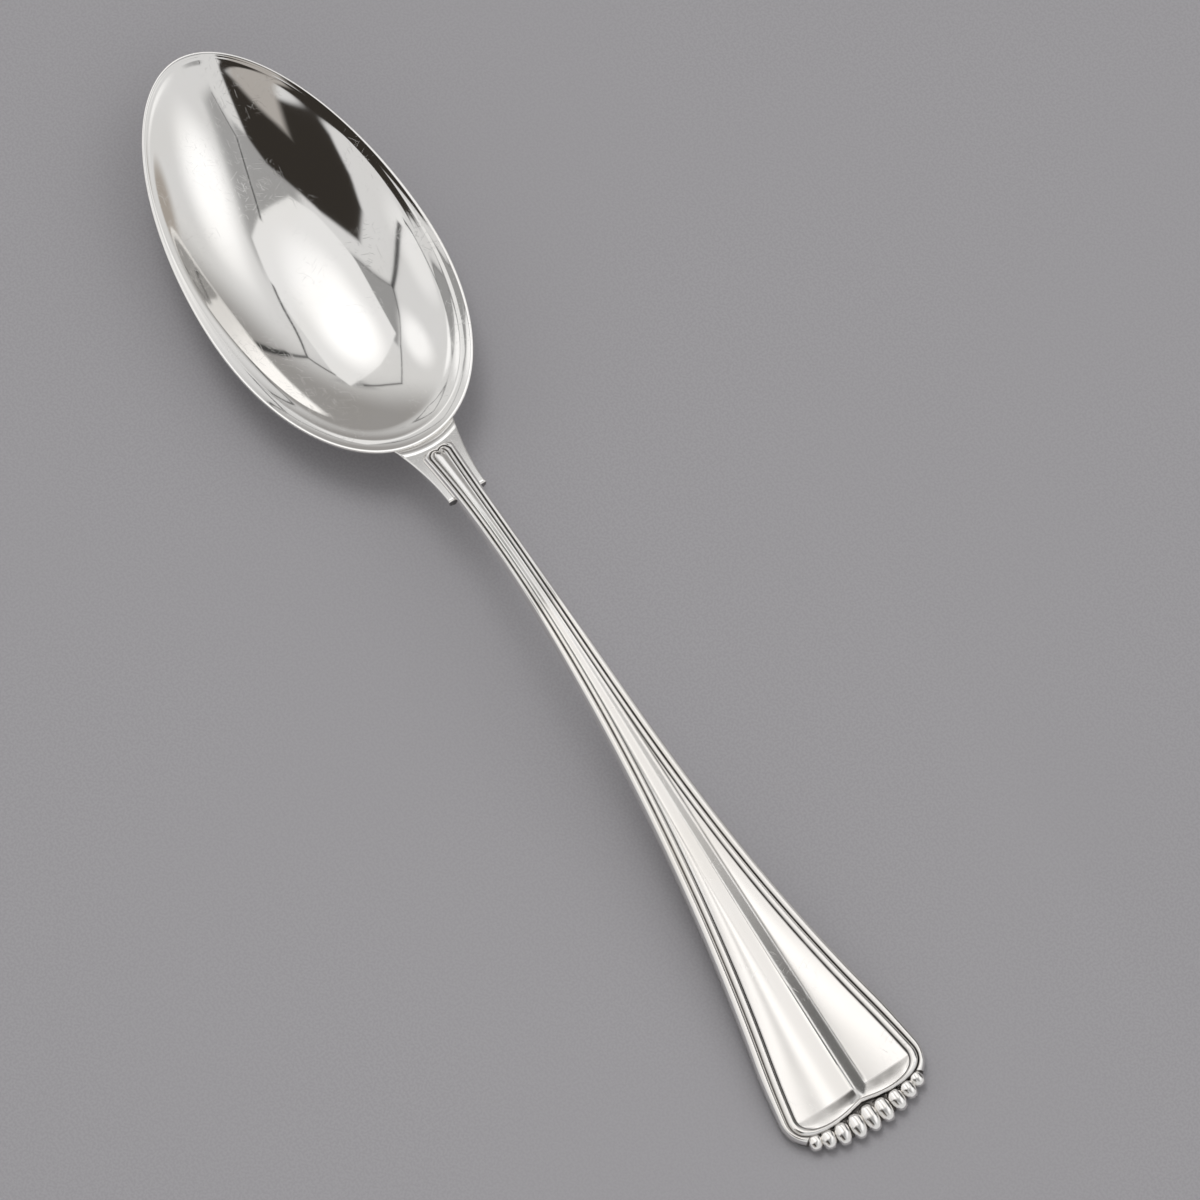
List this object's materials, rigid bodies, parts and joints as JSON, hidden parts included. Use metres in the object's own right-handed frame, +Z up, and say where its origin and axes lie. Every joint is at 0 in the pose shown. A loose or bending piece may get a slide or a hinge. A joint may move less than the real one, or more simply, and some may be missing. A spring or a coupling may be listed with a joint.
{
  "type": "table spoon",
  "caption": "Silver table spoon with an egg-shaped flanged bowl, a stepped shoulder and an arched handle with raised threads, long flutes and a row of lobes at its end.",
  "frame": {"origin": "on the table under the middle of the spoon's length, on its plane of symmetry", "axes": "+X from the tip of the bowl to the end of the handle, +Y across, +Z up with the bowl open upwards"},
  "size_m": [0.213, 0.0416, 0.0178],
  "materials": {
    "polished_silver": "solid silver, mirror polished, with fine scratches from use",
    "handle_silver": "solid silver, polished, slightly worn on the raised threads",
    "satin_silver": "solid silver with the soft sheen of long use in the flutes",
    "lobe_silver": "solid silver lobes, polished on top and darkened in the gaps"
  },
  "bodies": {
    "root": {"bowl": "polished_silver", "heel_drop": "polished_silver", "shoulder_plate": "polished_silver", "stem": "handle_silver", "fluted_panel": "satin_silver", "inner_thread": "handle_silver", "outer_thread": "handle_silver", "lobe_1": "lobe_silver", "lobe_2": "lobe_silver", "lobe_3": "lobe_silver", "lobe_4": "lobe_silver", "lobe_5": "lobe_silver", "lobe_6": "lobe_silver", "lobe_7": "lobe_silver", "lobe_8": "lobe_silver", "lobe_9": "lobe_silver"}
  },
  "joints": []
}
